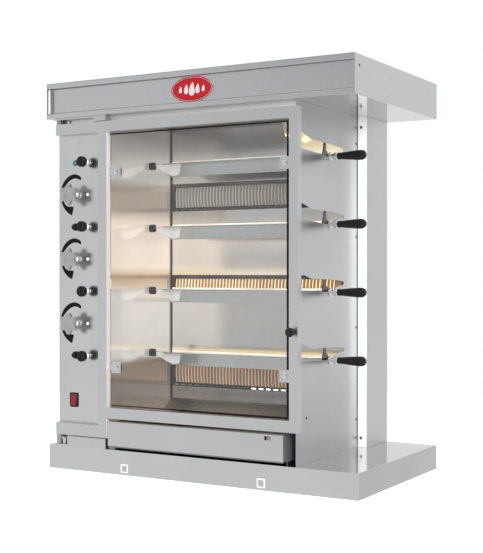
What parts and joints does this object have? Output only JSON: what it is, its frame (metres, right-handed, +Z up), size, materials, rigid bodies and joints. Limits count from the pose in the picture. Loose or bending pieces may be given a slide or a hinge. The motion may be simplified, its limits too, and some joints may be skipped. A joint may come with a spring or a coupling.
{
  "type": "gas rotisserie oven",
  "caption": "Free-standing gas rotisserie oven with a glazed swing door, motorised spits, rear burners, knobs on a left panel and a drip drawer.",
  "frame": {"origin": "on the floor, below the middle of the oven", "axes": "+Z up, +Y to the back, +X to the right seen from the front"},
  "size_m": [1.16, 0.698, 1.31],
  "materials": {
    "stainless": "fine satin",
    "bright_steel": "polished",
    "zinc_steel": "zinc plated",
    "burner_steel": "heat tinted",
    "satin_metal": "satin",
    "brass": "turned",
    "copper": "drawn tube",
    "glass": "clear",
    "lamp_glass": "frosted",
    "green_lens": "clear lens",
    "red_plastic": "gloss",
    "red_enamel": "gloss enamel",
    "black_plastic": "semi gloss"
  },
  "bodies": {
    "oven": {"plinth_shell": "stainless", "plinth_plugs": "stainless", "hood_shell": "stainless", "hood_fascia": "stainless", "hood_underside": "stainless", "fascia_badge": "red_enamel", "left_side_panel": "stainless", "rear_panel": "stainless", "control_panel": "stainless", "rear_right_cover": "stainless", "chamber_ceiling": "stainless", "chamber_left_wall": "stainless", "chamber_right_wall": "stainless", "chamber_back_wall": "stainless", "drip_deflector": "stainless", "burner_housings": "burner_steel", "burner_fins": "burner_steel", "gas_manifold": "zinc_steel", "gas_inlet": "brass", "gas_valves": "brass", "burner_feed_pipes": "copper", "gear_motors": "zinc_steel", "panel_switches": "black_plastic", "pilot_lamp": "green_lens", "rocker_frame": "black_plastic", "hinge_brackets": "stainless", "hinge_pins": "bright_steel", "drawer_rails": "stainless", "oven_lamp": "lamp_glass", "cable_gland": "black_plastic", "case_screws": "bright_steel"},
    "door": {"door_frame": "stainless", "door_glass": "glass", "glass_clips": "stainless", "clip_screws": "bright_steel", "door_knob": "black_plastic", "hinge_bushes": "brass"},
    "drawer": {"drawer_front": "stainless", "drip_tray": "stainless"},
    "spit_1": {"spit_bar_1": "bright_steel", "spit_handle_1": "black_plastic"},
    "spit_2": {"spit_bar_2": "bright_steel", "spit_handle_2": "black_plastic"},
    "spit_3": {"spit_bar_3": "bright_steel", "spit_handle_3": "black_plastic"},
    "spit_4": {"spit_bar_4": "bright_steel", "spit_handle_4": "black_plastic"},
    "gas_spindle_1": {"gas_spindle_1": "zinc_steel"},
    "gas_knob_1": {"gas_knob_1": "satin_metal"},
    "gas_spindle_2": {"gas_spindle_2": "zinc_steel"},
    "gas_knob_2": {"gas_knob_2": "satin_metal"},
    "gas_spindle_3": {"gas_spindle_3": "zinc_steel"},
    "gas_knob_3": {"gas_knob_3": "satin_metal"},
    "switch_1": {"switch_knob_1": "black_plastic"},
    "switch_2": {"switch_knob_2": "black_plastic"},
    "switch_3": {"switch_knob_3": "black_plastic"},
    "switch_4": {"switch_knob_4": "black_plastic"},
    "igniter_1": {"igniter_button_1": "black_plastic"},
    "igniter_2": {"igniter_button_2": "black_plastic"},
    "rocker": {"rocker_cap": "red_plastic"}
  },
  "joints": [
    {"name": "door_hinge", "type": "hinge", "parent": "oven", "child": "door", "pos_m": [-0.534, -0.3015, 0.64], "axis": [0, 0, -1], "range_deg": [0, 180]},
    {"name": "drawer_slide", "type": "slide", "parent": "oven", "child": "drawer", "axis": [0, -1, 0], "range_m": [0, 0.4]},
    {"name": "spit_turn_1", "type": "hinge", "parent": "oven", "child": "spit_1", "pos_m": [0, -0.055, 0.388], "axis": [1, 0, 0], "continuous": true},
    {"name": "spit_turn_2", "type": "hinge", "parent": "oven", "child": "spit_2", "pos_m": [0, -0.055, 0.605], "axis": [1, 0, 0], "continuous": true},
    {"name": "spit_turn_3", "type": "hinge", "parent": "oven", "child": "spit_3", "pos_m": [0, -0.055, 0.822], "axis": [1, 0, 0], "continuous": true},
    {"name": "spit_turn_4", "type": "hinge", "parent": "oven", "child": "spit_4", "pos_m": [0, -0.055, 1.039], "axis": [1, 0, 0], "continuous": true},
    {"name": "gas_turn_1", "type": "hinge", "parent": "oven", "child": "gas_spindle_1", "pos_m": [-0.472, -0.3, 0.496], "axis": [0, -1, 0], "range_deg": [0, 210]},
    {"name": "gas_push_1", "type": "slide", "parent": "gas_spindle_1", "child": "gas_knob_1", "axis": [0, 1, 0], "range_m": [0, 0.004], "stiffness_N_per_m": 1200},
    {"name": "gas_turn_2", "type": "hinge", "parent": "oven", "child": "gas_spindle_2", "pos_m": [-0.472, -0.3, 0.71325], "axis": [0, -1, 0], "range_deg": [0, 210]},
    {"name": "gas_push_2", "type": "slide", "parent": "gas_spindle_2", "child": "gas_knob_2", "axis": [0, 1, 0], "range_m": [0, 0.004], "stiffness_N_per_m": 1200},
    {"name": "gas_turn_3", "type": "hinge", "parent": "oven", "child": "gas_spindle_3", "pos_m": [-0.472, -0.3, 0.9305], "axis": [0, -1, 0], "range_deg": [0, 210]},
    {"name": "gas_push_3", "type": "slide", "parent": "gas_spindle_3", "child": "gas_knob_3", "axis": [0, 1, 0], "range_m": [0, 0.004], "stiffness_N_per_m": 1200},
    {"name": "switch_turn_1", "type": "hinge", "parent": "oven", "child": "switch_1", "pos_m": [-0.424, -0.3, 0.388], "axis": [0, 1, 0], "range_deg": [0, 90]},
    {"name": "switch_turn_2", "type": "hinge", "parent": "oven", "child": "switch_2", "pos_m": [-0.424, -0.3, 0.605], "axis": [0, 1, 0], "range_deg": [0, 90]},
    {"name": "switch_turn_3", "type": "hinge", "parent": "oven", "child": "switch_3", "pos_m": [-0.424, -0.3, 0.822], "axis": [0, 1, 0], "range_deg": [0, 90]},
    {"name": "switch_turn_4", "type": "hinge", "parent": "oven", "child": "switch_4", "pos_m": [-0.424, -0.3, 1.039], "axis": [0, 1, 0], "range_deg": [0, 90]},
    {"name": "igniter_push_1", "type": "slide", "parent": "oven", "child": "igniter_1", "axis": [0, 1, 0], "range_m": [0, 0.004], "stiffness_N_per_m": 1500},
    {"name": "igniter_push_2", "type": "slide", "parent": "oven", "child": "igniter_2", "axis": [0, 1, 0], "range_m": [0, 0.004], "stiffness_N_per_m": 1500},
    {"name": "rocker_tilt", "type": "hinge", "parent": "oven", "child": "rocker", "pos_m": [-0.482, -0.289, 0.236], "axis": [1, 0, 0], "range_deg": [0, 14]}
  ]
}
